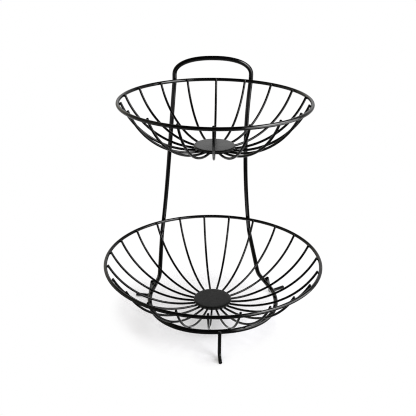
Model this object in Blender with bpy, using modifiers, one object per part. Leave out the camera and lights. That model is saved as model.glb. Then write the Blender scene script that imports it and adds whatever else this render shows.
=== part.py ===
"""A tiered wire fruit basket, built from its separate wires and pressed caps.

One bent frame wire makes the handle, both uprights and the ring that carries the lower bowl. Three short
legs are welded to the ring. The upper bowl is welded to the uprights by its rim. The lower bowl rests loose
in the ring and comes out forward and upward.

Metres, +Z up. The origin lies on the table under the lower bowl's centre, and the front faces -Y.
Radii, heights and lengths of wires are measured to the wires' centres.
"""
import math

import bpy
from mathutils import Matrix, Vector

# Thickness of each wire, and the clearance that pieces keep where they touch
FRAME_WIRE = 0.0065
LEG_WIRE = 0.005
RIM_WIRE = 0.0048
RIB_WIRE = 0.0032
CONTACT_GAP = 0.0003

# Upper bowl
UPPER_RIM_RADIUS = 0.125
UPPER_DEPTH = 0.065
UPPER_FLAT_RADIUS = 0.0233
UPPER_RIB_COUNT = 18
UPPER_FIRST_RIB = math.radians(4.45)

# Lower bowl
LOWER_RIM_RADIUS = 0.1523
LOWER_DEPTH = 0.0691
LOWER_FLAT_RADIUS = 0.035
LOWER_RIB_COUNT = 23
LOWER_FIRST_RIB = math.radians(184.8)

# Ribs and caps of both bowls
RIB_UNDER_CAP = 0.0085
RIB_PAST_WELD = 0.0008
CAP_RADIUS = 0.0275
CAP_HEIGHT = 0.0042
CAP_SHEET = 0.0012
CAP_EDGE_RADIUS = 0.0016

# Frame wire: the heights of the tiers, the handle and the uprights
RING_HEIGHT = 0.0366
TIER_SPACING = 0.2323
UPPER_BOWL_FORWARD = 0.0042
HANDLE_RISE = 0.0329
HANDLE_SPRING = 0.008
HANDLE_HALF_WIDTH = 0.0551
HANDLE_ROUND_SHARE = 0.873
UPRIGHT_SPREAD = 0.0132
UPPER_SET_OVER = 0.0065

# Frame wire: the ring and the two tails that join it to the uprights
RING_RADIUS = 0.0915
RING_FRONT_SHORTFALL = 0.0013
RING_ROUND_SHARE = 0.905
RING_LEAVES_AT = math.radians(15)
RING_TAIL = 0.0455
TAIL_BEND_RADIUS = 0.035
HEEL_DROP = 0.0255
HEEL_BEND_RADIUS = 0.013

# Legs: the two rear ones aren't bent quite alike on the real basket
LEG_BEND_RADIUS = 0.007
FRONT_LEG_ASIDE = 0.0019
FRONT_TOE = 0.0165
REAR_LEG_SEAT = 0.0215
REAR_LEG_BACK = math.radians(33)
LEFT_LEG_OUT = math.radians(7)
LEFT_TOE = 0.0216
LEFT_TOE_TURN = math.radians(13.3)
RIGHT_LEG_OUT = math.radians(14)
RIGHT_TOE = 0.0274
RIGHT_TOE_TURN = math.radians(29.4)

# Facets
BEVEL_STEPS = 2
LEG_BEVEL_STEPS = 4
RIB_STEPS = 11
RIM_STEPS_PER_RIB = {"upper": 4, "lower": 3}
HANDLE_STEPS = 11
UPRIGHT_STEPS = 11
HEEL_STEPS = 7
TAIL_STEPS = 4
RING_STEPS = 20
LEG_BEND_STEPS = 5
CAP_STEPS = 46
CAP_EDGE_STEPS = 3
MERGE_DISTANCE = 0.00001
HALVINGS = 40

RIM_REACH = (RIM_WIRE + RIB_WIRE) / 2 + CONTACT_GAP
FRAME_REACH = (FRAME_WIRE + RIB_WIRE) / 2 + CONTACT_GAP
LEG_REACH = (LEG_WIRE + RIB_WIRE) / 2 + CONTACT_GAP
UPRIGHT_REACH = (RIM_WIRE + FRAME_WIRE) / 2 + CONTACT_GAP
WELD_REACH = (FRAME_WIRE + LEG_WIRE) / 2 + CONTACT_GAP
RING_FRONT = RING_RADIUS - RING_FRONT_SHORTFALL


class Bowl:
    """The shape of one bowl, with heights above the plane of its rim.

    A rib runs flat under the cap, then climbs in one arc until it lies against the inside of the rim.
    """

    def __init__(self, name, rim_radius, depth, flat_radius, rib_count, first_rib):
        self.name = name
        self.rim_radius = rim_radius
        self.flat_radius = flat_radius
        self.rib_count = rib_count
        self.first_rib = first_rib
        span = rim_radius - flat_radius
        self.arc_radius = (span ** 2 + depth ** 2 - RIM_REACH ** 2) / (2 * (depth + RIM_REACH))
        self.arc_height = self.arc_radius - depth
        self.weld_angle = math.atan2(span, self.arc_height)

    def arc_point(self, angle):
        """Radius and height on the ribs' arc, at an angle from its lowest point."""
        return (self.flat_radius + self.arc_radius * math.sin(angle),
                self.arc_height - self.arc_radius * math.cos(angle))

    def angle_at(self, radius):
        """Angle on the arc at a radius, or zero where the ribs are still flat."""
        return math.asin(max(radius - self.flat_radius, 0) / self.arc_radius)

    def distance(self, point):
        """Distance of a point under the bowl from the ribs' centres, as if ribs lay all round."""
        across = math.hypot(point.x, point.y) - self.flat_radius
        return math.hypot(across, point.z - self.arc_height) - self.arc_radius


upper = Bowl("upper", UPPER_RIM_RADIUS, UPPER_DEPTH, UPPER_FLAT_RADIUS, UPPER_RIB_COUNT, UPPER_FIRST_RIB)
lower = Bowl("lower", LOWER_RIM_RADIUS, LOWER_DEPTH, LOWER_FLAT_RADIUS, LOWER_RIB_COUNT, LOWER_FIRST_RIB)

# The lower bowl sinks into the ring until its ribs touch the ring's front, which sets the height of both rims
SEAT_DROP = math.sqrt((lower.arc_radius + FRAME_REACH) ** 2 - (RING_FRONT - lower.flat_radius) ** 2)
LOWER_RIM_HEIGHT = RING_HEIGHT + SEAT_DROP - lower.arc_height
UPPER_RIM_HEIGHT = LOWER_RIM_HEIGHT + TIER_SPACING


def finish(name, colour, roughness, metallic):
    """A Principled material of one colour."""
    material = bpy.data.materials.new(name)
    material.use_nodes = True
    shader = material.node_tree.nodes["Principled BSDF"]
    shader.inputs["Base Color"].default_value = (*colour, 1)
    shader.inputs["Roughness"].default_value = roughness
    shader.inputs["Metallic"].default_value = metallic
    return material


def wire(name, points, thickness, material, bevel_steps=BEVEL_STEPS, closed=False):
    """A round wire along the points, with flat ends, or without ends when it closes on itself."""
    curve = bpy.data.curves.new(name, "CURVE")
    curve.dimensions = "3D"
    curve.bevel_depth = thickness / 2
    curve.bevel_resolution = bevel_steps
    curve.use_fill_caps = not closed
    spline = curve.splines.new("POLY")
    spline.points.add(len(points) - 1)
    for knot, point in zip(spline.points, points):
        knot.co = (*point, 1)
    spline.use_cyclic_u = closed
    curve.materials.append(material)
    return curve


def place(name, data, parent, turn=0):
    """One named object of the basket, turned about the vertical axis of its parent."""
    piece = bpy.data.objects.new(name, data)
    basket.objects.link(piece)
    piece.parent = parent
    piece.rotation_euler.z = turn
    return piece


def bend(before, corner, after, radius, steps):
    """Points of a round bend that takes the place of a sharp corner between two straight runs."""
    to_before = (before - corner).normalized()
    to_after = (after - corner).normalized()
    half_angle = to_before.angle(to_after) / 2
    centre = corner + (to_before + to_after).normalized() * (radius / math.sin(half_angle))
    start = corner + to_before * (radius / math.tan(half_angle)) - centre
    axis = to_after.cross(to_before)
    sweep = math.pi - 2 * half_angle
    return [centre + Matrix.Rotation(sweep * step / steps, 3, axis) @ start for step in range(steps + 1)]


def rib_points(bowl):
    """Centreline of a rib that leaves the bowl's axis along +X, from under the cap to the rim."""
    start_radius = CAP_RADIUS - RIB_UNDER_CAP
    start_angle = bowl.angle_at(start_radius)
    end_angle = bowl.weld_angle + RIB_PAST_WELD / bowl.arc_radius
    points = []
    if start_radius < bowl.flat_radius:
        points.append(Vector((start_radius, 0, bowl.arc_point(start_angle)[1])))
    for step in range(RIB_STEPS + 1):
        radius, height = bowl.arc_point(start_angle + (end_angle - start_angle) * step / RIB_STEPS)
        points.append(Vector((radius, 0, height)))
    return points


def rim_points(bowl):
    """Points of the rim's circle, with one at each rib."""
    count = bowl.rib_count * RIM_STEPS_PER_RIB[bowl.name]
    angles = [bowl.first_rib + math.tau * step / count for step in range(count)]
    return [Vector((math.cos(angle), math.sin(angle), 0)) * bowl.rim_radius for angle in angles]


def cap_profile(bowl):
    """Half section of the cap, down its outer side, round the lip and back along the underside."""
    edge_angle = bowl.angle_at(CAP_RADIUS)
    bottom = bowl.arc_point(edge_angle)[1] + RIB_WIRE / 2 / math.cos(edge_angle) + CONTACT_GAP
    top = bottom + CAP_HEIGHT
    corner_radius = CAP_RADIUS - CAP_EDGE_RADIUS
    corner_height = top - CAP_EDGE_RADIUS
    quarter = [math.pi / 2 * step / CAP_EDGE_STEPS for step in range(CAP_EDGE_STEPS + 1)]

    def corner(radius, angle):
        return corner_radius + radius * math.sin(angle), corner_height + radius * math.cos(angle)

    outline = [(0, top)]
    outline += [corner(CAP_EDGE_RADIUS, angle) for angle in quarter]
    outline += [(CAP_RADIUS, bottom), (CAP_RADIUS - CAP_SHEET, bottom)]
    outline += [corner(CAP_EDGE_RADIUS - CAP_SHEET, angle) for angle in reversed(quarter)]
    outline.append((0, top - CAP_SHEET))
    return outline


def turned(name, outline, material):
    """A mesh that holds the outline at +X, for the Screw modifier to turn about Z."""
    mesh = bpy.data.meshes.new(name)
    edges = [(index, index + 1) for index in range(len(outline) - 1)]
    mesh.from_pydata([(radius, 0, height) for radius, height in outline], edges, [])
    mesh.materials.append(material)
    return mesh


def add_screw(piece):
    """Turn the piece's outline once round its Z axis."""
    screw = piece.modifiers.new("Turned", "SCREW")
    screw.steps = CAP_STEPS
    screw.render_steps = CAP_STEPS
    screw.use_merge_vertices = True
    screw.merge_threshold = MERGE_DISTANCE
    screw.use_smooth_shade = True


def set_over(height):
    """How far the upper part of the frame stands to the right, as it does on the real basket."""
    share = (height - LOWER_RIM_HEIGHT) / TIER_SPACING
    return UPPER_SET_OVER * min(max(share, 0), 1) ** 3


def back_y(height, across):
    """How far back the frame lies, from the left upright at -1 to the right one at 1.

    Each upright lies against the back of both rims, so it leans back on its way down.
    """
    share = (UPPER_RIM_HEIGHT - height) / TIER_SPACING
    backs = []
    for side in (-1, 1):
        upper_x = side * HANDLE_HALF_WIDTH + UPPER_SET_OVER
        upper_y = math.sqrt((upper.rim_radius + UPRIGHT_REACH) ** 2 - upper_x ** 2) - UPPER_BOWL_FORWARD
        lower_x = HANDLE_HALF_WIDTH + UPRIGHT_SPREAD
        lower_y = math.sqrt((lower.rim_radius + UPRIGHT_REACH) ** 2 - lower_x ** 2)
        backs.append(upper_y + (lower_y - upper_y) * share)
    return (backs[0] * (1 - across) + backs[1] * (1 + across)) / 2


def upright_point(height, side):
    """A point on an upright, which spreads outward below the upper rim."""
    drop = max((UPPER_RIM_HEIGHT - height) / TIER_SPACING, 0)
    x = side * (HANDLE_HALF_WIDTH + UPRIGHT_SPREAD * drop ** 2) + set_over(height)
    return Vector((x, back_y(height, side), height))


def handle_points(side):
    """Half of the handle, a rounded arch from its crown down to where the upright begins."""
    spring = UPPER_RIM_HEIGHT + HANDLE_SPRING
    points = []
    for step in range(HANDLE_STEPS):
        angle = math.pi / 2 * step / HANDLE_STEPS
        across = side * math.sin(angle) ** HANDLE_ROUND_SHARE
        height = spring + (HANDLE_RISE - HANDLE_SPRING) * math.cos(angle) ** HANDLE_ROUND_SHARE
        points.append(Vector((HANDLE_HALF_WIDTH * across + UPPER_SET_OVER, back_y(height, across), height)))
    return points


def ring_point(angle, side):
    """A point on the ring, at an angle forward (below zero) or back from its widest point.

    The ring is round toward the back, and slightly squarer and shorter in front.
    """
    if angle > 0:
        return Vector((side * RING_RADIUS * math.cos(angle), RING_RADIUS * math.sin(angle), RING_HEIGHT))
    x = side * RING_RADIUS * abs(math.cos(angle)) ** RING_ROUND_SHARE
    return Vector((x, -RING_FRONT * math.sin(-angle) ** RING_ROUND_SHARE, RING_HEIGHT))


def tail_point(distance, side):
    """A point on a tail of the ring, at a distance back from where it leaves the circle."""
    back = Vector((-side * math.sin(RING_LEAVES_AT), math.cos(RING_LEAVES_AT), 0))
    return ring_point(RING_LEAVES_AT, side) + back * distance


def frame_half(side):
    """One half of the frame wire, from the handle's crown down and round to the front of the ring."""
    top = UPPER_RIM_HEIGHT + HANDLE_SPRING
    heel = upright_point(LOWER_RIM_HEIGHT - HEEL_DROP, side)
    bottom = heel.z + HEEL_BEND_RADIUS
    heights = [top + (bottom - top) * step / UPRIGHT_STEPS for step in range(UPRIGHT_STEPS + 1)]
    tail_end = tail_point(RING_TAIL, side)
    points = handle_points(side) + [upright_point(height, side) for height in heights]
    points += bend(points[-1], heel, tail_end, HEEL_BEND_RADIUS, HEEL_STEPS)
    points += bend(heel, tail_end, tail_point(0, side), TAIL_BEND_RADIUS, TAIL_STEPS)
    sweep = RING_LEAVES_AT + math.pi / 2
    points += [ring_point(RING_LEAVES_AT - sweep * step / RING_STEPS, side) for step in range(RING_STEPS + 1)]
    return points


def frame_points():
    """The whole frame wire as one closed loop: down the right half and back up the left."""
    return frame_half(1) + frame_half(-1)[-2:0:-1]


def leg_end(weld, down):
    """The upper end of a leg: as far up from its weld as the lower bowl's ribs leave room."""
    below, above = -FRAME_WIRE, FRAME_WIRE
    for _ in range(HALVINGS):
        middle = (below + above) / 2
        point = weld - down * middle - Vector((0, 0, LOWER_RIM_HEIGHT))
        if lower.distance(point) > LEG_REACH:
            below = middle
        else:
            above = middle
    return weld - down * below


def leg_points(weld, down, toe):
    """A leg that passes its weld on the way down, and bends at the table along its toe."""
    foot_height = LEG_WIRE / 2
    foot = weld + down * ((foot_height - weld.z) / down.z)
    tip = foot + toe
    top = leg_end(weld, down)
    return [top, *bend(top, foot, tip, LEG_BEND_RADIUS, LEG_BEND_STEPS), tip]


def front_leg_points():
    """The front leg hangs straight down, almost from the ring's foremost point, with its toe forward."""
    weld = Vector((FRONT_LEG_ASIDE, -RING_FRONT - WELD_REACH, RING_HEIGHT))
    return leg_points(weld, Vector((0, 0, -1)), Vector((0, -FRONT_TOE, 0)))


def rear_leg_points(side, lean_out, toe_length, toe_turn):
    """A rear leg lies outside its tail of the ring, splays outward and back, and turns its toe out."""
    down = Vector((side * math.tan(lean_out), math.tan(REAR_LEG_BACK), -1)).normalized()
    along_tail = (tail_point(RING_TAIL, side) - tail_point(0, side)).normalized()
    outward = down.cross(along_tail).normalized() * side
    weld = tail_point(REAR_LEG_SEAT, side) + outward * WELD_REACH
    toe = Vector((side * math.cos(toe_turn), math.sin(toe_turn), 0)) * toe_length
    return leg_points(weld, down, toe)


def build_stand():
    """The frame wire and its three legs, all on one empty at the origin."""
    stand = place("stand", None, None)
    place("frame_wire", wire("frame_wire", frame_points(), FRAME_WIRE, frame_black, closed=True), stand)
    legs = {"front_leg": front_leg_points(),
            "rear_leg_left": rear_leg_points(-1, LEFT_LEG_OUT, LEFT_TOE, LEFT_TOE_TURN),
            "rear_leg_right": rear_leg_points(1, RIGHT_LEG_OUT, RIGHT_TOE, RIGHT_TOE_TURN)}
    for name, points in legs.items():
        place(name, wire(name, points, LEG_WIRE, leg_black, LEG_BEVEL_STEPS), stand)
    return stand


def build_bowl(bowl, rim_centre, parent):
    """One bowl on an empty at the centre of its rim, which for the lower bowl is where its slide starts."""
    centre = place(f"{bowl.name}_bowl", None, parent)
    centre.location = rim_centre
    rim = f"{bowl.name}_rim"
    place(rim, wire(rim, rim_points(bowl), RIM_WIRE, rim_black, closed=True), centre)
    rib = wire(f"{bowl.name}_rib", rib_points(bowl), RIB_WIRE, rib_black)
    for index in range(bowl.rib_count):
        turn = bowl.first_rib + math.tau * index / bowl.rib_count
        place(f"{bowl.name}_rib_{index + 1:02d}", rib, centre, turn)
    cap = f"{bowl.name}_cap"
    add_screw(place(cap, turned(cap, cap_profile(bowl), cap_black), centre))


for old in list(bpy.data.objects):
    bpy.data.objects.remove(old)

basket = bpy.data.collections.new("fruit_basket")
bpy.context.scene.collection.children.link(basket)

frame_black = finish("frame_black", (0.012, 0.012, 0.013), 0.34, 0)
leg_black = finish("leg_black", (0.012, 0.012, 0.013), 0.36, 0)
rim_black = finish("rim_black", (0.013, 0.013, 0.014), 0.34, 0)
rib_black = finish("rib_black", (0.014, 0.014, 0.015), 0.38, 0)
cap_black = finish("cap_black", (0.02, 0.02, 0.021), 0.42, 0)

stand_empty = build_stand()
build_bowl(upper, (0, -UPPER_BOWL_FORWARD, UPPER_RIM_HEIGHT), stand_empty)
build_bowl(lower, (0, 0, LOWER_RIM_HEIGHT), stand_empty)
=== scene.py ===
"""A tiered fruit basket of black painted wire on a pale table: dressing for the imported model."""
import math

import bpy
from mathutils import Matrix, Vector


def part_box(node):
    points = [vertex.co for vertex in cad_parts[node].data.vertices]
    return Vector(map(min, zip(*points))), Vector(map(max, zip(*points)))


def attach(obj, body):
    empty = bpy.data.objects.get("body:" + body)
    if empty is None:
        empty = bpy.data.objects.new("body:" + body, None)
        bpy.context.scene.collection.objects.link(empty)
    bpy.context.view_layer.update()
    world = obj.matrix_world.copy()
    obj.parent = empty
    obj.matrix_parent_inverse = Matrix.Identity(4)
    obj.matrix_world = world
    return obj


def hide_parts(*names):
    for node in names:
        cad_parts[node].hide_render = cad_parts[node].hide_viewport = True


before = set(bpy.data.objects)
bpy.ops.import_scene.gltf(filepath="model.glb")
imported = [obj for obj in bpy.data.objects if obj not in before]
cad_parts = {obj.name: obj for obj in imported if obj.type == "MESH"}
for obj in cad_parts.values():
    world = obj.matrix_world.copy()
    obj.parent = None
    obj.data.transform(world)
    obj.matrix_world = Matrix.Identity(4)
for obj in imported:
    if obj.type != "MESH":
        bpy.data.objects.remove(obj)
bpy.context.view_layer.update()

# Frame wire
# One 6.5 mm steel wire makes the handle, both uprights and the ring under the lower bowl. It is bent cold
# and butt-welded into a loop, and the whole stand is dipped in satin black paint once the legs are on.


class Signal:
    """One output of a node. Arithmetic on it adds Math nodes, and node() adds any other kind."""

    def __init__(self, tree, socket=None):
        self.tree = tree
        self.socket = socket

    def node(self, kind, settings=None, inputs=None):
        """Add a node: its settings first, then its sockets' values or links. Gives its first output."""
        made = self.tree.nodes.new(kind)
        for name, setting in (settings or {}).items():
            setattr(made, name, setting)
        sockets = {socket.name: socket for socket in made.inputs}
        sockets.update({socket.identifier: socket for socket in made.inputs})
        for name, value in (inputs or {}).items():
            if isinstance(value, Signal):
                self.tree.links.new(value.socket, sockets[name])
            else:
                sockets[name].default_value = value
        live = [socket for socket in made.outputs if socket.enabled]
        return Signal(self.tree, live[0] if live else None)

    def output(self, name):
        """Another output of the same node."""
        return Signal(self.tree, self.socket.node.outputs[name])

    def math(self, operation, first, second=0):
        """A Math node on two values, either of which may be an output."""
        return self.node("ShaderNodeMath", {"operation": operation}, {"Value": first, "Value_001": second})

    def __add__(self, other):
        return self.math("ADD", self, other)

    def __radd__(self, other):
        return self.math("ADD", other, self)

    def __sub__(self, other):
        return self.math("SUBTRACT", self, other)

    def __rsub__(self, other):
        return self.math("SUBTRACT", other, self)

    def __mul__(self, other):
        return self.math("MULTIPLY", self, other)

    def __rmul__(self, other):
        return self.math("MULTIPLY", other, self)

    def __truediv__(self, other):
        return self.math("DIVIDE", self, other)

    def __rtruediv__(self, other):
        return self.math("DIVIDE", other, self)

    def __pow__(self, other):
        return self.math("POWER", self, other)

    def __rpow__(self, other):
        return self.math("POWER", other, self)


def wire_tree():
    """Round wires along the edges of a mesh, in equal turns about an upright axis, with eased ends."""
    tree = bpy.data.node_groups.new("round_wires", "GeometryNodeTree")
    sizes = {"Paths": "Geometry", "Thickness": "Float", "Sides": "Int", "Copies": "Int",
             "First turn": "Float", "Centre": "Vector", "Eased length": "Float", "End share": "Float",
             "Lumps": "Float", "Lump size": "Float", "Paint": "Material"}
    for label, kind in sizes.items():
        tree.interface.new_socket(label, in_out="INPUT", socket_type=f"NodeSocket{kind}")
    tree.interface.new_socket("Wires", in_out="OUTPUT", socket_type="NodeSocketGeometry")
    start = Signal(tree).node("NodeGroupInput")
    size = {label: start.output(label) for label in sizes}

    paths = start.node("GeometryNodeMeshToCurve", inputs={"Mesh": size["Paths"]})
    copies = start.node("GeometryNodeDuplicateElements", {"domain": "SPLINE"},
                        {"Geometry": paths, "Amount": size["Copies"]})
    turn = size["First turn"] + copies.output("Duplicate Index") * math.tau / size["Copies"]
    place = start.node("GeometryNodeInputPosition")
    turned = start.node("ShaderNodeVectorRotate", {"rotation_type": "Z_AXIS"},
                        {"Vector": place, "Angle": turn})
    placed = start.node("ShaderNodeVectorMath", {"operation": "ADD"},
                        {"Vector": turned, "Vector_001": size["Centre"]})
    curves = start.node("GeometryNodeSetPosition", inputs={"Geometry": copies, "Position": placed})

    along = start.node("GeometryNodeSplineParameter").output("Length")
    whole = start.node("GeometryNodeSplineLength")
    to_end = start.math("MINIMUM", along, whole - along)
    never_zero = start.math("MAXIMUM", size["Eased length"], 1e-9)
    share = start.math("MINIMUM", to_end / never_zero, 1)
    round_share = start.math("SQRT", start.math("MAXIMUM", 1 - (1 - share) ** 2, 0))
    eased = size["End share"] + (1 - size["End share"]) * round_share
    section = start.node("GeometryNodeCurvePrimitiveCircle",
                         inputs={"Resolution": size["Sides"], "Radius": size["Thickness"] / 2})
    skin = start.node("GeometryNodeCurveToMesh", inputs={"Curve": curves, "Profile Curve": section,
                                                         "Scale": eased, "Fill Caps": True})
    noise = start.node("ShaderNodeTexNoise", inputs={"Scale": 1 / size["Lump size"], "Detail": 1.0})
    normal = start.node("GeometryNodeInputNormal")
    swell = start.node("ShaderNodeVectorMath", {"operation": "SCALE"},
                       {"Vector": normal, "Scale": (noise - 0.5) * size["Lumps"]})
    lumpy = start.node("GeometryNodeSetPosition", inputs={"Geometry": skin, "Offset": swell})
    smooth = start.node("GeometryNodeSetShadeSmooth", inputs={"Geometry": lumpy})
    real = start.node("GeometryNodeRealizeInstances", inputs={"Geometry": smooth})
    painted = start.node("GeometryNodeSetMaterial", inputs={"Geometry": real, "Material": size["Paint"]})
    start.node("NodeGroupOutput", inputs={"Wires": painted})
    return tree


round_wires = wire_tree()
wire_pieces = bpy.data.collections.new("wire_pieces")


def wires(name, paths, thickness, paint, body, nodes, slot, closed=False, sides=24, copies=1,
          first_turn=0.0, centre=(0, 0, 0), eased=0.0, end_share=0.55, lumps=0.0, lump_size=0.002):
    """One piece of round wire along each path, riding on its body in place of the nodes it stands for."""
    corners = []
    edges = []
    for path in paths:
        first = len(corners)
        corners += path
        edges += [(first + index, first + index + 1) for index in range(len(path) - 1)]
        if closed:
            edges.append((len(corners) - 1, first))
    guide = bpy.data.meshes.new(name)
    guide.from_pydata(corners, edges, [])
    carrier = bpy.data.objects.new(name, guide)
    bpy.context.scene.collection.objects.link(carrier)
    modifier = carrier.modifiers.new("Round wires", "NODES")
    modifier.node_group = round_wires
    values = {"Thickness": thickness, "Sides": sides, "Copies": copies, "First turn": first_turn,
              "Centre": centre, "Eased length": eased, "End share": 1.0 if closed else end_share,
              "Lumps": lumps, "Lump size": lump_size, "Paint": paint}
    for socket in round_wires.interface.items_tree:
        if socket.name in values:
            modifier[socket.identifier] = values[socket.name]
    graph = bpy.context.evaluated_depsgraph_get()
    mesh = bpy.data.meshes.new_from_object(carrier.evaluated_get(graph))
    bpy.data.objects.remove(carrier)
    piece = bpy.data.objects.new(name, mesh)
    bpy.context.scene.collection.objects.link(piece)
    wire_pieces.objects.link(piece)
    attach(piece, body)
    if nodes:
        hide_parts(*nodes)


def rise(value, low, high, most=1.0):
    """A soft step from 0 up to a level, while a value goes from one bound to the other."""
    return value.node("ShaderNodeMapRange", {"interpolation_type": "SMOOTHSTEP"},
                      {"Value": value, "From Min": low, "From Max": high, "To Max": most})


BLACK = (0.001, 0.001, 0.001, 1)
DUSTY_BLACK = (0.003, 0.003, 0.0032, 1)
SPECKS_PER_PATCH = 9
PATCH_SHARE = 0.6
SPECK_SHARE = 0.4
HAZE_SETS_IN = (0.42, 0.68)
HAZE_DULLS = 0.07
SPECKS_DULL = 0.04


def black_paint(name, roughness, peel_size, peel_depth, patch_size, shine=0.5,
                clean=BLACK, dusty=DUSTY_BLACK):
    """Black stoved paint: a fine orange peel, a cloudy gloss, and a trace of dust in the colour."""
    material = bpy.data.materials.new(name)
    material.use_nodes = True
    tree = material.node_tree
    shader = tree.nodes["Principled BSDF"]
    place = Signal(tree).node("ShaderNodeTexCoord").output("Object")
    patches = place.node("ShaderNodeTexNoise", inputs={"Vector": place, "Scale": 1 / patch_size,
                                                       "Detail": 3.0, "Roughness": 0.6})
    specks = place.node("ShaderNodeTexNoise", inputs={"Vector": place, "Detail": 4.0, "Roughness": 0.7,
                                                      "Scale": SPECKS_PER_PATCH / patch_size})
    peel = place.node("ShaderNodeTexNoise", inputs={"Vector": place, "Scale": 1 / peel_size,
                                                    "Detail": 2.0, "Roughness": 0.45})
    haze = rise(patches * PATCH_SHARE + specks * SPECK_SHARE, *HAZE_SETS_IN)
    tint = place.node("ShaderNodeMix", {"data_type": "RGBA"},
                      {"Factor_Float": haze, "A_Color": clean, "B_Color": dusty})
    bump = place.node("ShaderNodeBump", inputs={"Strength": 1.0, "Distance": peel_depth, "Height": peel})
    dullness = roughness + haze * HAZE_DULLS - (specks - 0.5) * SPECKS_DULL
    tree.links.new(tint.socket, shader.inputs["Base Color"])
    tree.links.new(dullness.socket, shader.inputs["Roughness"])
    tree.links.new(bump.socket, shader.inputs["Normal"])
    shader.inputs["Specular IOR Level"].default_value = shine
    return material


FRAME_WIRE = 0.0065
RIM_WIRE = 0.0048
CONTACT_GAP = 0.0003

UPPER_RIM_RADIUS = 0.125
UPPER_FORWARD = 0.0042
LOWER_RIM_RADIUS = 0.1523
RING_HEIGHT = 0.0366
TIER_SPACING = 0.2323
LOWER_RIM_HEIGHT = (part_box("lower_rim")[0].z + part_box("lower_rim")[1].z) / 2
UPPER_RIM_HEIGHT = LOWER_RIM_HEIGHT + TIER_SPACING

HANDLE_RISE = 0.0329
HANDLE_SPRING = 0.008
HANDLE_HALF_WIDTH = 0.0551
HANDLE_ROUND_SHARE = 0.873
UPRIGHT_SPREAD = 0.0132
UPPER_SET_OVER = 0.0065
UPRIGHT_REACH = (RIM_WIRE + FRAME_WIRE) / 2 + CONTACT_GAP

RING_RADIUS = 0.0915
RING_FRONT = 0.0902
RING_ROUND_SHARE = 0.905
RING_LEAVES_AT = math.radians(15)
RING_TAIL = 0.0455
TAIL_BEND = 0.035
HEEL_DROP = 0.0255
HEEL_BEND = 0.013


def bend(before, corner, after, radius, steps):
    """Points of a round bend in place of a sharp corner."""
    to_before = (before - corner).normalized()
    to_after = (after - corner).normalized()
    half_angle = to_before.angle(to_after) / 2
    centre = corner + (to_before + to_after).normalized() * (radius / math.sin(half_angle))
    start = corner + to_before * (radius / math.tan(half_angle)) - centre
    axis = to_after.cross(to_before)
    sweep = math.pi - 2 * half_angle
    return [centre + Matrix.Rotation(sweep * step / steps, 3, axis) @ start for step in range(steps + 1)]


def back_y(height, across):
    """How far back the frame lies, from the left upright at -1 to the right one at 1."""
    share = (UPPER_RIM_HEIGHT - height) / TIER_SPACING
    backs = []
    for side in (-1, 1):
        upper_x = side * HANDLE_HALF_WIDTH + UPPER_SET_OVER
        upper_y = math.sqrt((UPPER_RIM_RADIUS + UPRIGHT_REACH) ** 2 - upper_x ** 2) - UPPER_FORWARD
        lower_x = HANDLE_HALF_WIDTH + UPRIGHT_SPREAD
        lower_y = math.sqrt((LOWER_RIM_RADIUS + UPRIGHT_REACH) ** 2 - lower_x ** 2)
        backs.append(upper_y + (lower_y - upper_y) * share)
    return (backs[0] * (1 - across) + backs[1] * (1 + across)) / 2


def upright_point(height, side):
    """A point on an upright, which spreads below the upper rim and is set over to the right above."""
    drop = max((UPPER_RIM_HEIGHT - height) / TIER_SPACING, 0)
    set_over = UPPER_SET_OVER * min(max((height - LOWER_RIM_HEIGHT) / TIER_SPACING, 0), 1) ** 3
    x = side * (HANDLE_HALF_WIDTH + UPRIGHT_SPREAD * drop ** 2) + set_over
    return Vector((x, back_y(height, side), height))


def ring_point(angle, side):
    """A point on the ring, at an angle back from its widest point; forward of it the ring is squarer."""
    if angle > 0:
        return Vector((side * RING_RADIUS * math.cos(angle), RING_RADIUS * math.sin(angle), RING_HEIGHT))
    x = side * RING_RADIUS * abs(math.cos(angle)) ** RING_ROUND_SHARE
    return Vector((x, -RING_FRONT * math.sin(-angle) ** RING_ROUND_SHARE, RING_HEIGHT))


def tail_point(distance, side):
    """A point on the straight tail that leads from the ring back toward an upright."""
    back = Vector((-side * math.sin(RING_LEAVES_AT), math.cos(RING_LEAVES_AT), 0))
    return ring_point(RING_LEAVES_AT, side) + back * distance


def frame_half(side, handle_steps=36, upright_steps=60, heel_steps=18, tail_steps=12, ring_steps=70):
    """Half of the frame, from the crown of the handle round to the front of the ring."""
    spring = UPPER_RIM_HEIGHT + HANDLE_SPRING
    points = []
    for step in range(handle_steps):
        angle = math.pi / 2 * step / handle_steps
        across = side * math.sin(angle) ** HANDLE_ROUND_SHARE
        height = spring + (HANDLE_RISE - HANDLE_SPRING) * math.cos(angle) ** HANDLE_ROUND_SHARE
        x = HANDLE_HALF_WIDTH * across + UPPER_SET_OVER
        points.append(Vector((x, back_y(height, across), height)))
    heel = upright_point(LOWER_RIM_HEIGHT - HEEL_DROP, side)
    bottom = heel.z + HEEL_BEND
    points += [upright_point(spring + (bottom - spring) * step / upright_steps, side)
               for step in range(upright_steps + 1)]
    tail_end = tail_point(RING_TAIL, side)
    points += bend(points[-1], heel, tail_end, HEEL_BEND, heel_steps)
    points += bend(heel, tail_end, tail_point(0, side), TAIL_BEND, tail_steps)
    sweep = RING_LEAVES_AT + math.pi / 2
    points += [ring_point(RING_LEAVES_AT - sweep * step / ring_steps, side)
               for step in range(ring_steps + 1)]
    return points


frame_paint = black_paint("frame_paint", roughness=0.12, peel_size=0.0011, peel_depth=0.000012,
                          patch_size=0.02, shine=0.42)
wires("frame_bar", [frame_half(1) + frame_half(-1)[-2:0:-1]], FRAME_WIRE, frame_paint, "stand",
      ["frame_wire"], "frame", closed=True)


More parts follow.
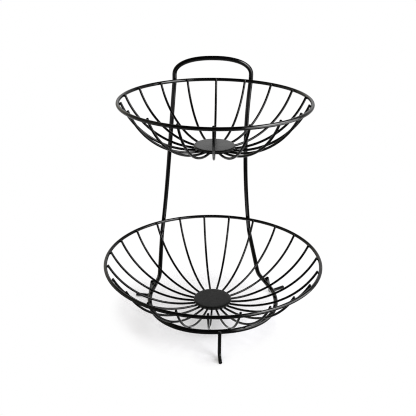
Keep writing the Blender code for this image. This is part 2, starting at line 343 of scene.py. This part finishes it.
# Legs
# Three short 5 mm wires, snipped to length, each bent once into a toe that lies on the table. They are
# welded to the outside of the ring.
LEG_WIRE = 0.005
LEG_BEND = 0.007
LEG_EASE = 0.0006
FRONT_LEG_ASIDE = 0.0019
FRONT_TOE = 0.0165
REAR_LEG_SEAT = 0.0215
REAR_LEG_BACK = math.radians(33)
LEFT_LEG_OUT = math.radians(7)
LEFT_TOE = 0.0216
LEFT_TOE_TURN = math.radians(13.3)
RIGHT_LEG_OUT = math.radians(14)
RIGHT_TOE = 0.0274
RIGHT_TOE_TURN = math.radians(29.4)
WELD_REACH = (FRAME_WIRE + LEG_WIRE) / 2 + CONTACT_GAP
LEG_BEAD = 0.0036
LEG_BEAD_REACH = 0.0036
LEG_BEAD_ROUNDING = 0.0025
LEG_BEAD_LIFT = 0.0006
BEAD_TIP_SHARE = 0.02
BEAD_LUMPS = 0.0004


def eased_ends(points, length, steps=4):
    """An open path with a few points more close to both ends, for the rounded edge of a snipped wire."""
    def end(tip, inner):
        way = (inner - tip).normalized()
        near_tip = [length * (1 - math.cos(math.pi / 2 * step / steps)) for step in range(steps + 1)]
        return [tip + way * along for along in near_tip]

    return end(points[0], points[1]) + points[1:-1] + end(points[-1], points[-2])[::-1]


def leg_path(weld, down, toe, top_height, bend_steps=12):
    """A leg from its upper end, past its weld, down to the table and along its toe."""
    foot = weld + down * ((LEG_WIRE / 2 - weld.z) / down.z)
    top = weld + down * ((top_height - LEG_WIRE / 2 * math.hypot(down.x, down.y) - weld.z) / down.z)
    middle = [top + (foot - top) * share for share in (0.15, 0.4, 0.65)]
    turned = bend(top, foot, foot + toe, LEG_BEND, bend_steps)
    return eased_ends([top, *middle, *turned, foot + toe], LEG_EASE)


def rear_leg_path(side, lean_out, toe_length, toe_turn, top_height):
    """A rear leg, which leans back and outward from its weld on the ring's tail."""
    down = Vector((side * math.tan(lean_out), math.tan(REAR_LEG_BACK), -1)).normalized()
    along_tail = (tail_point(RING_TAIL, side) - tail_point(0, side)).normalized()
    outward = down.cross(along_tail).normalized() * side
    weld = tail_point(REAR_LEG_SEAT, side) + outward * WELD_REACH
    toe = Vector((side * math.cos(toe_turn), math.sin(toe_turn), 0)) * toe_length
    return leg_path(weld, down, toe, top_height)


def bead(contact, along, reach, steps=8):
    """The path of a small weld bead, past the spot where two wires touch."""
    return [contact + along * (reach * math.sin(math.pi / 2 * step / steps))
            for step in range(-steps, steps + 1)]


def welds(name, beads, thickness, rounding, body, slot, sides=16, **turns):
    """Weld beads along short paths, lumpy and rounded off at both ends."""
    wires(name, beads, thickness, weld_paint, body, [], slot, sides=sides, eased=rounding,
          end_share=BEAD_TIP_SHARE, lumps=BEAD_LUMPS, **turns)


leg_paint = black_paint("leg_paint", roughness=0.15, peel_size=0.001, peel_depth=0.000012,
                        patch_size=0.012)
weld_paint = black_paint("weld_paint", roughness=0.24, peel_size=0.0009, peel_depth=0.00006,
                         patch_size=0.006)
front_weld = Vector((FRONT_LEG_ASIDE, -RING_FRONT - WELD_REACH, RING_HEIGHT))
leg_paths = {
    "front_leg": leg_path(front_weld, Vector((0, 0, -1)), Vector((0, -FRONT_TOE, 0)),
                          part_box("front_leg")[1].z),
    "rear_leg_left": rear_leg_path(-1, LEFT_LEG_OUT, LEFT_TOE, LEFT_TOE_TURN,
                                   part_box("rear_leg_left")[1].z),
    "rear_leg_right": rear_leg_path(1, RIGHT_LEG_OUT, RIGHT_TOE, RIGHT_TOE_TURN,
                                    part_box("rear_leg_right")[1].z),
}
for leg, leg_line in leg_paths.items():
    wires(f"{leg}_bar", [leg_line], LEG_WIRE, leg_paint, "stand", [leg], "legs", eased=LEG_EASE)

leg_beads = []
ring_spots = (ring_point(-math.pi / 2, 1) + Vector((FRONT_LEG_ASIDE, 0, 0)),
              tail_point(REAR_LEG_SEAT, -1), tail_point(REAR_LEG_SEAT, 1))
for leg_line, ring_spot in zip(leg_paths.values(), ring_spots):
    # The first five points of a leg round off its upper end, and the next two lie on its straight part.
    straight, further = leg_line[5:7]
    down = (further - straight).normalized()
    nearest = straight + down * down.dot(ring_spot - straight)
    outward = (nearest - ring_spot).normalized()
    seam = ring_spot + outward * (FRAME_WIRE / 2 + LEG_BEAD_LIFT)
    leg_beads.append(bead(seam, down.cross(outward), LEG_BEAD_REACH))
welds("leg_welds", leg_beads, LEG_BEAD, LEG_BEAD_ROUNDING, "stand", "legs")


# Bowls
# Each bowl is a hoop of 4.8 mm wire with 3.2 mm ribs spot-welded to its inside, 0.06 mm thicker all round
# with their paint. The ribs run down to the middle and end under a pressed cap of sheet. The upper bowl is
# welded to the uprights, and the lower one is loose.
UPPER_DEPTH = 0.065
UPPER_FLAT_RADIUS = 0.0233
UPPER_RIBS = 18
UPPER_FIRST_RIB = math.radians(4.45)
LOWER_DEPTH = 0.0691
LOWER_FLAT_RADIUS = 0.035
LOWER_RIBS = 23
LOWER_FIRST_RIB = math.radians(184.8)
RIB_WIRE = 0.0032
RIB_COAT = 0.00006
RIB_EASE = 0.0004
RIB_PAST_WELD = 0.0008
RIM_REACH = (RIM_WIRE + RIB_WIRE) / 2 + CONTACT_GAP
CAP_RADIUS = 0.0275
CAP_HEIGHT = 0.0042
CAP_SHEET = 0.0012
CAP_EDGE = 0.0016
CAP_FLAT_RINGS = (0.012, 0.022)
LIP_BEVEL = 0.0002
RIB_UNDER_CAP = 0.0085
RIM_BEAD = 0.0024
RIM_BEAD_REACH = 0.0015
UPRIGHT_BEAD = 0.0032
UPRIGHT_BEAD_REACH = 0.0026
UPRIGHT_BEAD_ROUNDING = 0.0022
UPWARD = Vector((0, 0, 1))

rim_paint = black_paint("rim_paint", roughness=0.12, peel_size=0.001, peel_depth=0.000012,
                        patch_size=0.018)
rib_paint = black_paint("rib_paint", roughness=0.14, peel_size=0.0008, peel_depth=0.00001,
                        patch_size=0.012, shine=0.3)
cap_paint = black_paint("cap_paint", roughness=0.2, peel_size=0.0014, peel_depth=0.000014,
                        patch_size=0.01, shine=0.45, clean=(0.004, 0.004, 0.004, 1),
                        dusty=(0.009, 0.009, 0.009, 1))


class RibArc:
    """The arc that a bowl's ribs follow, with heights above the plane of its rim."""

    def __init__(self, rim_radius, depth, flat_radius):
        span = rim_radius - flat_radius
        self.flat_radius = flat_radius
        self.radius = (span ** 2 + depth ** 2 - RIM_REACH ** 2) / (2 * (depth + RIM_REACH))
        self.centre_height = self.radius - depth
        self.weld_angle = math.atan2(span, self.centre_height)

    def angle_at(self, radius):
        """The angle along the arc at a distance from the bowl's middle."""
        return math.asin(max(radius - self.flat_radius, 0) / self.radius)

    def point(self, angle):
        """The spot on the arc at an angle from where it leaves the flat middle."""
        return Vector((self.flat_radius + self.radius * math.sin(angle), 0,
                       self.centre_height - self.radius * math.cos(angle)))

    def rib(self, steps=44):
        """The centreline of one rib, from under the cap to just past its weld."""
        start_radius = CAP_RADIUS - RIB_UNDER_CAP
        first = self.angle_at(start_radius)
        last = self.weld_angle + RIB_PAST_WELD / self.radius
        points = [self.point(first + (last - first) * step / steps) for step in range(steps + 1)]
        if start_radius < self.flat_radius:
            points.insert(0, Vector((start_radius, 0, points[0].z)))
        return eased_ends(points, RIB_EASE)


def cap_mesh(name, arc, steps=144, corner_steps=9):
    """A pressed cap, turned from its section: a flat top, a rounded corner and a lip over the ribs."""
    edge_angle = arc.angle_at(CAP_RADIUS)
    bottom = arc.point(edge_angle).z + RIB_WIRE / 2 / math.cos(edge_angle) + CONTACT_GAP
    top = bottom + CAP_HEIGHT
    centre_radius = CAP_RADIUS - CAP_EDGE
    inner_radius = CAP_RADIUS - CAP_SHEET

    def corner(radius, step):
        angle = math.pi / 2 * step / corner_steps
        return centre_radius + radius * math.sin(angle), top - CAP_EDGE + radius * math.cos(angle)

    section = [(0, top)] + [(ring, top) for ring in CAP_FLAT_RINGS]
    section += [corner(CAP_EDGE, step) for step in range(corner_steps + 1)]
    section += [(CAP_RADIUS, bottom + LIP_BEVEL), (CAP_RADIUS - LIP_BEVEL, bottom),
                (inner_radius + LIP_BEVEL, bottom), (inner_radius, bottom + LIP_BEVEL)]
    section += [corner(CAP_EDGE - CAP_SHEET, step) for step in range(corner_steps, -1, -1)]
    section += [(CAP_FLAT_RINGS[0], top - CAP_SHEET), (0, top - CAP_SHEET)]
    mesh = bpy.data.meshes.new(name)
    mesh.from_pydata([(radius, 0, height) for radius, height in section],
                     [(index, index + 1) for index in range(len(section) - 1)], [])
    blank = bpy.data.objects.new(name, mesh)
    bpy.context.scene.collection.objects.link(blank)
    screw = blank.modifiers.new("Turned", "SCREW")
    screw.steps = steps
    screw.render_steps = steps
    screw.use_merge_vertices = True
    screw.merge_threshold = 0.00001
    screw.use_smooth_shade = True
    graph = bpy.context.evaluated_depsgraph_get()
    turned = bpy.data.meshes.new_from_object(blank.evaluated_get(graph))
    bpy.data.objects.remove(blank)
    return turned


def bowl(tier, body, rim_radius, rim_centre, arc, rib_count, first_rib, rim_steps=288):
    """The hoop, ribs, cap and welds of one bowl."""
    circle = [Vector((math.cos(turn), math.sin(turn), 0)) * rim_radius
              for turn in (math.tau * step / rim_steps for step in range(rim_steps))]
    wires(f"{tier}_hoop", [circle], RIM_WIRE, rim_paint, body, [f"{tier}_rim"], "rims", closed=True,
          centre=rim_centre)
    names = [f"{tier}_rib_{index + 1:02d}" for index in range(rib_count)]
    wires(f"{tier}_ribs", [arc.rib()], RIB_WIRE + 2 * RIB_COAT, rib_paint, body, names, "ribs", sides=14,
          copies=rib_count, first_turn=first_rib, centre=rim_centre, eased=RIB_EASE)
    inside = Vector((rim_radius - RIM_WIRE / 2 - CONTACT_GAP / 2, 0, 0))
    welds(f"{tier}_rim_welds", [bead(inside, UPWARD, RIM_BEAD_REACH)], RIM_BEAD, RIM_BEAD_REACH, body,
          "rims", sides=14, copies=rib_count, first_turn=first_rib, centre=rim_centre)
    cap = bpy.data.objects.new(f"{tier}_disc", cap_mesh(f"{tier}_disc", arc))
    cap.data.transform(Matrix.Translation(rim_centre))
    cap.data.materials.append(cap_paint)
    bpy.context.scene.collection.objects.link(cap)
    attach(cap, body)
    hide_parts(f"{tier}_cap")


upper_centre = Vector((0, -UPPER_FORWARD, UPPER_RIM_HEIGHT))
lower_centre = Vector((0, 0, LOWER_RIM_HEIGHT))
upper_arc = RibArc(UPPER_RIM_RADIUS, UPPER_DEPTH, UPPER_FLAT_RADIUS)
lower_arc = RibArc(LOWER_RIM_RADIUS, LOWER_DEPTH, LOWER_FLAT_RADIUS)
bowl("upper", "stand", UPPER_RIM_RADIUS, upper_centre, upper_arc, UPPER_RIBS, UPPER_FIRST_RIB)
rim_outside = UPPER_RIM_RADIUS + (RIM_WIRE + CONTACT_GAP) / 2
ways_out = [(upright_point(UPPER_RIM_HEIGHT, side) - upper_centre).normalized() for side in (-1, 1)]
upright_beads = [bead(upper_centre + way * rim_outside, UPWARD, UPRIGHT_BEAD_REACH) for way in ways_out]
welds("upright_welds", upright_beads, UPRIGHT_BEAD, UPRIGHT_BEAD_ROUNDING, "stand", "rims")
bowl("lower", "lower_bowl", LOWER_RIM_RADIUS, lower_centre, lower_arc, LOWER_RIBS, LOWER_FIRST_RIB)


# Table
# A white paper sweep under and behind the basket. Near the stand it takes the basket's shadow, and further
# off it is plain white to the eye. In the paint's reflections the paper is painted light: a glowing patch
# painted where the table is lit, a dim glow around that, and a painted floor and sweep of the room beyond.
TABLE_HALF = 6
TABLE_TOP = -0.0002
WHITE = (1, 1, 1, 1)
PAPER = (0.83, 0.83, 0.87, 1)
PAPER_GLOW = 0.24
ROOM_LIGHT = 0.5
SHADOW_CENTRE = (-0.012, 0.041, 0)
SHADOW_FADES = (0.114, 0.144)
TOE_SHADOW_CENTRE = (-0.008, -0.088, 0)
TOE_SHADOW_FADES = (0.014, 0.034)
# Glow levels that paint the paper's reflection in the paint: a lit patch, dim paper, the room's floor and
# sweep.
PATCH_CENTRE = (0.02, 0.04, 0)
PATCH_FADES = (0.19, 0.03)
PATCH_LIGHT = 1.5
PAINTED_DIM_PAPER = 0.04
FLOOR_STARTS = (0.36, 0.5)
FLOOR_ENDS = (-1.2, -0.9)
FLOOR_LIGHT = 0.5
SWEEP_STARTS = (0.15, 0.4)
SWEEP_LIGHT = 0.65

table_mesh = bpy.data.meshes.new("table")
table_signs = ((-1, -1), (1, -1), (1, 1), (-1, 1))
table_mesh.from_pydata([(x * TABLE_HALF, y * TABLE_HALF, TABLE_TOP) for x, y in table_signs], [],
                       [(0, 1, 2, 3)])
table = bpy.data.objects.new("table", table_mesh)
bpy.context.scene.collection.objects.link(table)
table_white = bpy.data.materials.new("table_white")
table_white.use_nodes = True
table_white.node_tree.nodes.clear()
ground = Signal(table_white.node_tree)
ray = ground.node("ShaderNodeLightPath")
in_view = ground.math("MAXIMUM", ray.output("Is Camera Ray"), ray.output("Is Transmission Ray"))
mirrored = ray.output("Is Glossy Ray")
spot = ground.node("ShaderNodeTexCoord").output("Object")
depth = ground.node("ShaderNodeSeparateXYZ", inputs={"Vector": spot}).output("Y")


def distance(place):
    """How far a spot on the table is from a place on it."""
    return ground.node("ShaderNodeVectorMath", {"operation": "DISTANCE"},
                       {"Vector": spot, "Vector_001": place}).output("Value")


paper = ground.node("ShaderNodeBsdfDiffuse", inputs={"Color": PAPER})
glow = ground.node("ShaderNodeEmission", inputs={"Color": WHITE, "Strength": in_view * PAPER_GLOW})
near = ground.node("ShaderNodeAddShader", inputs={"Shader": paper, "Shader_001": glow})
from_patch = distance(PATCH_CENTRE)
# Painted light: a patch that glows only in the paint's reflections, in place of the lit table by the
# stand, and a painted reflection of the room's floor further off.
painted_light_patch = rise(from_patch, *PATCH_FADES, PATCH_LIGHT) + PAINTED_DIM_PAPER
painted_room_floor = rise(from_patch, *FLOOR_STARTS, FLOOR_LIGHT) * rise(depth, *FLOOR_ENDS)
sweep = rise(depth, *SWEEP_STARTS)
# The paper as the paint mirrors it: painted reflections of the lit patch, the room's floor and the sweep.
painted_reflection = (painted_light_patch + painted_room_floor) * (1 - sweep) + sweep * SWEEP_LIGHT
# Far off the paper glows: white to the eye, its painted reflection to glossy rays, and painted room light
# at the room's level to other rays, which lights the basket from below.
far_light = in_view + mirrored * painted_reflection + (1 - in_view) * (1 - mirrored) * ROOM_LIGHT
far = ground.node("ShaderNodeEmission", inputs={"Color": WHITE, "Strength": far_light})
off_shadow = rise(distance(SHADOW_CENTRE), *SHADOW_FADES)
off_toe_shadow = rise(distance(TOE_SHADOW_CENTRE), *TOE_SHADOW_FADES)
plain = ground.math("MAXIMUM", off_shadow * off_toe_shadow, mirrored)
surface = ground.node("ShaderNodeMixShader", inputs={"Fac": plain, "Shader": near, "Shader_001": far})
ground.node("ShaderNodeOutputMaterial", inputs={"Surface": surface})
table_mesh.materials.append(table_white)


# Room and lamps
# The room is white to the eye. The paint mirrors a bright wall behind the basket that is dark toward the
# ceiling, two dim side walls, and a warmer tone on the left. The wires alone mirror a tall diffuser close
# by on the right. Two soft lamps, overhead and at the front right, light the table.
WARM_WHITE = (1, 0.96, 0.78, 1)
WARM_LEFT = (-0.45, -0.05)
BACK_WALL_STARTS = (0.3, 0.9)
WALL_LIGHT = 0.36
WALL_BRIGHTENS = (0.08, 0.3)
WALL_EXTRA_LIGHT = 0.5
CEILING_DARKENS = (0.62, 0.38)
SIDE_WALLS_START = (0.3, 0.7)
SIDE_WALLS_FRONT = (-0.6, 0)
SIDE_LIGHT = 0.25
DARKEST = 0.01

world = bpy.data.worlds.new("studio")
bpy.context.scene.world = world
world.use_nodes = True
world.node_tree.nodes.clear()
sky = Signal(world.node_tree)
rightward = sky.node("ShaderNodeSeparateXYZ",
                     inputs={"Vector": sky.node("ShaderNodeTexCoord").output("Generated")})
backward = rightward.output("Y")
upward = rightward.output("Z")
behind = rise(backward, *BACK_WALL_STARTS)
wall = (WALL_LIGHT + rise(upward, *WALL_BRIGHTENS, WALL_EXTRA_LIGHT)) * rise(upward, *CEILING_DARKENS)
sideways = sky.math("ABSOLUTE", rightward)
side_walls = rise(sideways, *SIDE_WALLS_START, SIDE_LIGHT) * rise(backward, *SIDE_WALLS_FRONT)
mirrored_room = behind * wall + side_walls * (1 - behind) + DARKEST
sky_ray = sky.node("ShaderNodeLightPath")
seen = sky.math("MAXIMUM", sky_ray.output("Is Camera Ray"), sky_ray.output("Is Transmission Ray"))
glossy = sky_ray.output("Is Glossy Ray")
strength = seen + (1 - seen) * (glossy * mirrored_room + (1 - glossy) * ROOM_LIGHT)
cool = sky.math("MAXIMUM", rise(rightward, *WARM_LEFT), seen)
tone = sky.node("ShaderNodeMix", {"data_type": "RGBA"},
                {"Factor_Float": cool, "A_Color": WARM_WHITE, "B_Color": WHITE})
room = sky.node("ShaderNodeBackground", inputs={"Color": tone, "Strength": strength})
sky.node("ShaderNodeOutputWorld", inputs={"Surface": room})


def softbox(name, place, target, width, height, power, mirrored_only=False):
    """A flat soft light, which either lights the scene unmirrored or only shows in the wires' paint."""
    lamp = bpy.data.lights.new(name, "AREA")
    lamp.shape = "RECTANGLE"
    lamp.size = width
    lamp.size_y = height
    lamp.energy = power
    holder = bpy.data.objects.new(name, lamp)
    facing = (Vector(target) - Vector(place)).to_track_quat("-Z", "Y").to_matrix().to_4x4()
    holder.matrix_world = Matrix.Translation(place) @ facing
    holder.visible_camera = False
    holder.visible_diffuse = not mirrored_only
    holder.visible_glossy = mirrored_only
    if mirrored_only:
        holder.light_linking.receiver_collection = wire_pieces
    bpy.context.scene.collection.objects.link(holder)


softbox("overhead", place=(0.45, 0.6, 1.3), target=(0, 0, 0.1), width=1.1, height=0.9, power=10)
softbox("side", place=(1.0, -1.0, 0.55), target=(0, 0, 0.2), width=0.7, height=0.8, power=18)
softbox("diffuser", place=(0.43, -0.43, 0.52), target=(0, -0.43, 0.52), width=0.82, height=1.0,
        power=7.3, mirrored_only=True)
softbox("diffuser_middle", place=(0.425, -0.27, 0.68), target=(0, -0.27, 0.68), width=0.36, height=0.42,
        power=3.2, mirrored_only=True)


# Camera
# Where the photograph was taken from: a little left of the front and well above, looking down. Its pixels
# are filtered less softly than usual, because the photograph is crisp.
FRAME_PIXELS = 416
LENS_PIXELS = 684.9
CAMERA_PLACE = (-0.0745, -0.8663, 0.5540)
HEADING = math.radians(4.41)
PITCH = math.radians(23.333)
ROLL = math.radians(0.464)
PIXEL_FILTER = 1.1

lens = bpy.data.cameras.new("camera")
lens.lens = LENS_PIXELS / FRAME_PIXELS * lens.sensor_width
camera = bpy.data.objects.new("camera", lens)
bpy.context.scene.collection.objects.link(camera)
level = Vector((math.cos(HEADING), -math.sin(HEADING), 0))
forward = Vector((math.sin(HEADING) * math.cos(PITCH), math.cos(HEADING) * math.cos(PITCH),
                  -math.sin(PITCH)))
steep = level.cross(forward)
right = level * math.cos(ROLL) + steep * math.sin(ROLL)
above = steep * math.cos(ROLL) - level * math.sin(ROLL)
looking = Matrix((right, above, -forward)).transposed().to_4x4()
camera.matrix_world = Matrix.Translation(CAMERA_PLACE) @ looking
bpy.context.scene.camera = camera
bpy.context.scene.view_settings.view_transform = "Standard"
bpy.context.scene.cycles.filter_width = PIXEL_FILTER
